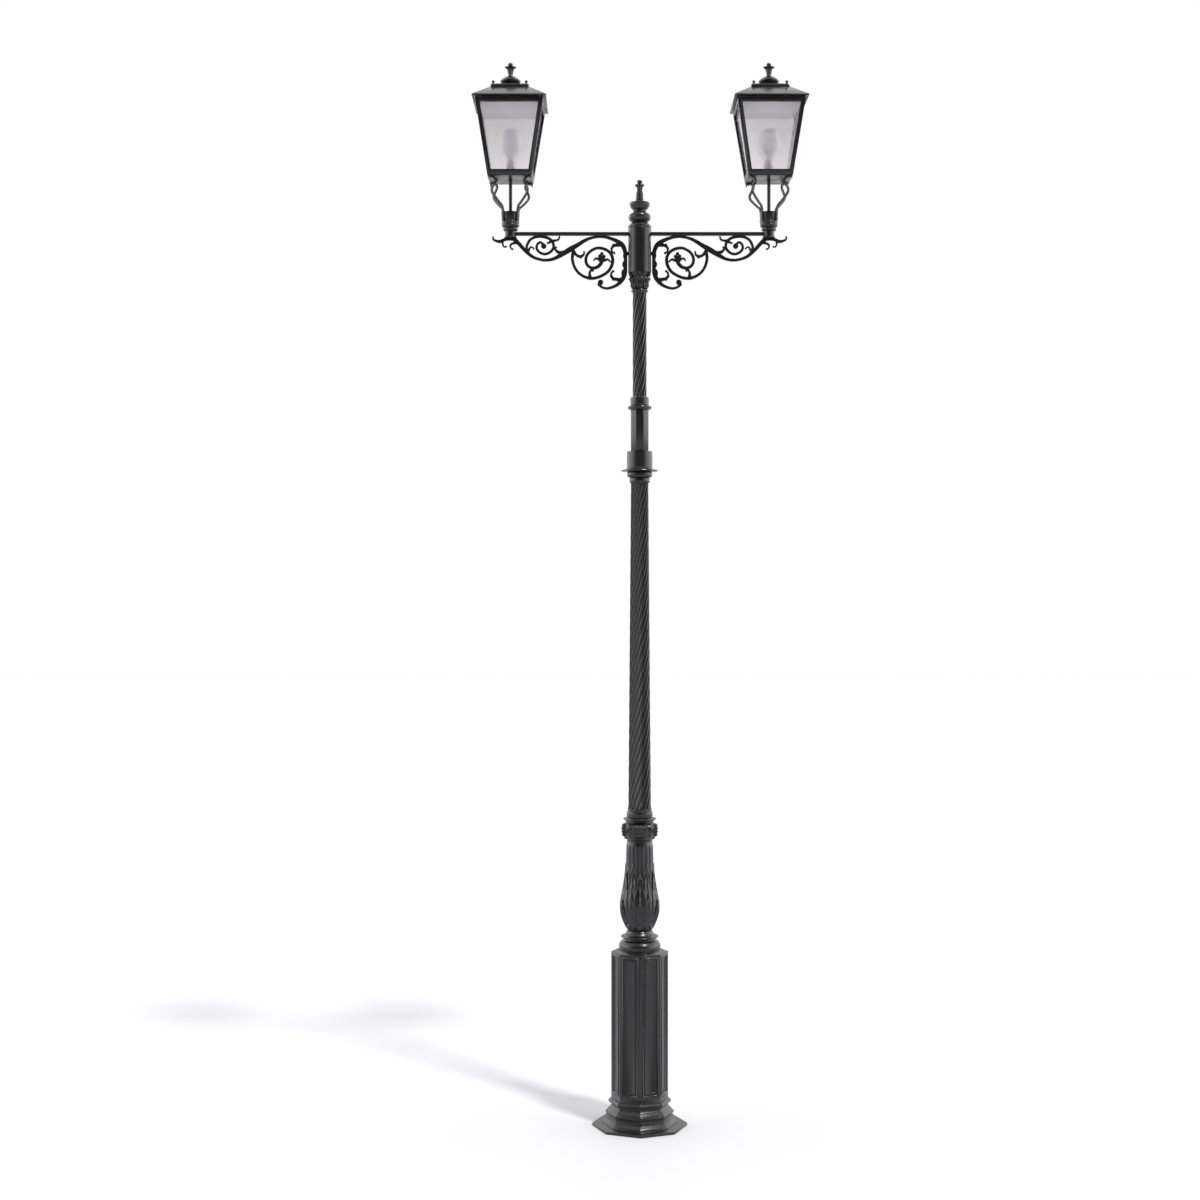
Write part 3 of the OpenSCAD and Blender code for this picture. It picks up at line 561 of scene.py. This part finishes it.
def panel_mouldings():
    """A moulding that frames the recessed panel of each pedestal face but the door's."""
    low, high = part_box("pedestal")
    depth = high.x * math.cos(math.radians(FACE_STEP / 2)) - PANEL_DEPTH
    half = PANEL_WIDTH / 2
    bottom, top = low.z + PANEL_BORDER, high.z - PANEL_BORDER
    corners = ((-half, bottom, 1, 1), (half, bottom, -1, 1), (half, top, -1, -1), (-half, top, 1, -1))
    ring = len(MOULDING)
    verts, faces = [], []
    for k in range(FACES):
        facing = FACE_STEP / 2 + FACE_STEP * k
        if abs(facing - DOOR_AZIMUTH) < 1:
            continue
        azimuth = math.radians(facing)
        out, along = (math.cos(azimuth), math.sin(azimuth)), (-math.sin(azimuth), math.cos(azimuth))
        start = len(verts)
        for x, z, dx, dz in corners:
            for inset, rise in MOULDING:
                reach, side = depth + rise, x + dx * inset
                verts.append((out[0] * reach + along[0] * side, out[1] * reach + along[1] * side,
                              z + dz * inset))
        for corner in range(4):
            a = start + corner * ring
            b = start + (corner + 1) % 4 * ring
            for j in range(ring):
                faces.append((a + j, a + (j + 1) % ring, b + (j + 1) % ring, b + j))
    obj = mesh_object("piece_panel_mouldings", verts, faces)
    shade(obj.data, 50.0)
    set_material(obj, "black_paint")
    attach(obj, "post")


# ---------- Arms and lanterns ----------

def build_side(side):
    centre = lantern_axis(side)
    for node, width in (("arm_bar", 0.002), ("frame", 0.0015), ("tray", 0.001),
                        ("roof", 0.0015), ("reflector", 0.001), ("crest", 0.002), ("glass", 0.0004)):
        softened(side + "_" + node, width)
    for node, voxel, rounds in (("main_scroll", 0.0014, 7), ("large_scroll", 0.0014, 7),
                                ("small_scroll", 0.0014, 7), ("legs", 0.0014, 5)):
        forged(side + "_" + node, voxel, rounds)
    for node in ("socket", "ventilator", "lamp", "lamp_holder"):
        turned(side + "_" + node, centre, 96, 0.004)
    low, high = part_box(side + "_finial")
    turned(side + "_finial", centre, 128, 0.0012, bud_relief(low.z, high.z, 0.6))


def dress_remaining():
    """Every CAD node that still shows gets its own finish."""
    for name, obj in NODES.items():
        if not obj.hide_render:
            set_material(obj, SLOT_OF[name])


# ---------- Studio ----------

def build_floor():
    size = FLOOR_HALF
    floor = mesh_object("floor", [(-size, -size, 0), (size, -size, 0), (size, size, 0), (-size, size, 0)],
                        [(0, 1, 2, 3)])
    material, kit, shader, where = new_material("studio_floor")
    shader.inputs["Base Color"].default_value = FLOOR_COLOUR
    kit.feed(shader, "Roughness", kit.ramp(kit.noise(where, 2.0), 0.3, 0.7, 0.6, 0.7))
    floor.data.materials.append(material)


def build_world():
    """A white studio: dim in front of the post, brighter overhead, with a wide softbox on each side."""
    world = bpy.data.worlds.new("studio")
    bpy.context.scene.world = world
    world.use_nodes = True
    tree = world.node_tree
    tree.nodes.clear()
    kit = Nodes(tree)
    where = kit.add("ShaderNodeTexCoord").outputs["Generated"]
    split = kit.add("ShaderNodeSeparateXYZ")
    tree.links.new(where, split.inputs[0])
    ramp = kit.add("ShaderNodeValToRGB")
    stops = ramp.color_ramp.elements
    stops[0].position, stops[1].position = STUDIO_LEVELS[0][0], STUDIO_LEVELS[-1][0]
    for position, _ in STUDIO_LEVELS[1:-1]:
        stops.new(position)
    for stop, (position, level) in zip(stops, STUDIO_LEVELS):
        stop.position = position
        stop.color = (level, level, level, 1)
    tree.links.new(kit.ramp(split.outputs["Y"], -1.0, 1.0), ramp.inputs["Fac"])
    across = kit.math("ABSOLUTE", split.outputs["X"])
    boxes = kit.ramp(across, 0.70, 0.92, 0.0, SIDE_BOX)
    glow = kit.math("ADD", kit.math("MULTIPLY", ramp.outputs["Color"], STUDIO_GAIN), boxes)
    studio = kit.add("ShaderNodeBackground", {"Strength": 1.0, "Color": glow})
    plain = kit.add("ShaderNodeBackground", {"Strength": 1.0, "Color": (1, 1, 1, 1)})
    choose = kit.add("ShaderNodeMixShader")
    tree.links.new(kit.add("ShaderNodeLightPath").outputs["Is Camera Ray"], choose.inputs["Fac"])
    tree.links.new(studio.outputs[0], choose.inputs[1])
    tree.links.new(plain.outputs[0], choose.inputs[2])
    output = kit.add("ShaderNodeOutputWorld")
    tree.links.new(choose.outputs[0], output.inputs["Surface"])


def build_lights():
    light = bpy.data.lights.new("key", "SUN")
    light.energy = KEY_ENERGY
    light.color = KEY_COLOUR
    light.angle = math.radians(KEY_SPREAD)
    key = bpy.data.objects.new("key", light)
    bpy.context.scene.collection.objects.link(key)
    x, y, z = KEY_FROM
    key.rotation_euler = (math.atan2(math.hypot(x, y), z), 0, math.atan2(y, x) + math.pi / 2)


def build_camera():
    camera_data = bpy.data.cameras.new("camera")
    camera_data.sensor_width = CAMERA_SENSOR
    camera_data.lens = CAMERA_LENS
    camera_data.clip_end = CAMERA_REACH
    camera = bpy.data.objects.new("camera", camera_data)
    bpy.context.scene.collection.objects.link(camera)
    camera.location = CAMERA_AT
    camera.rotation_euler = (math.radians(90), 0, 0)
    bpy.context.scene.camera = camera
    bpy.context.scene.view_settings.view_transform = "Standard"


build_camera()
build_floor()
build_world()
build_lights()
build_post()
panel_mouldings()
for side_name in SIDES:
    build_side(side_name)
dress_remaining()
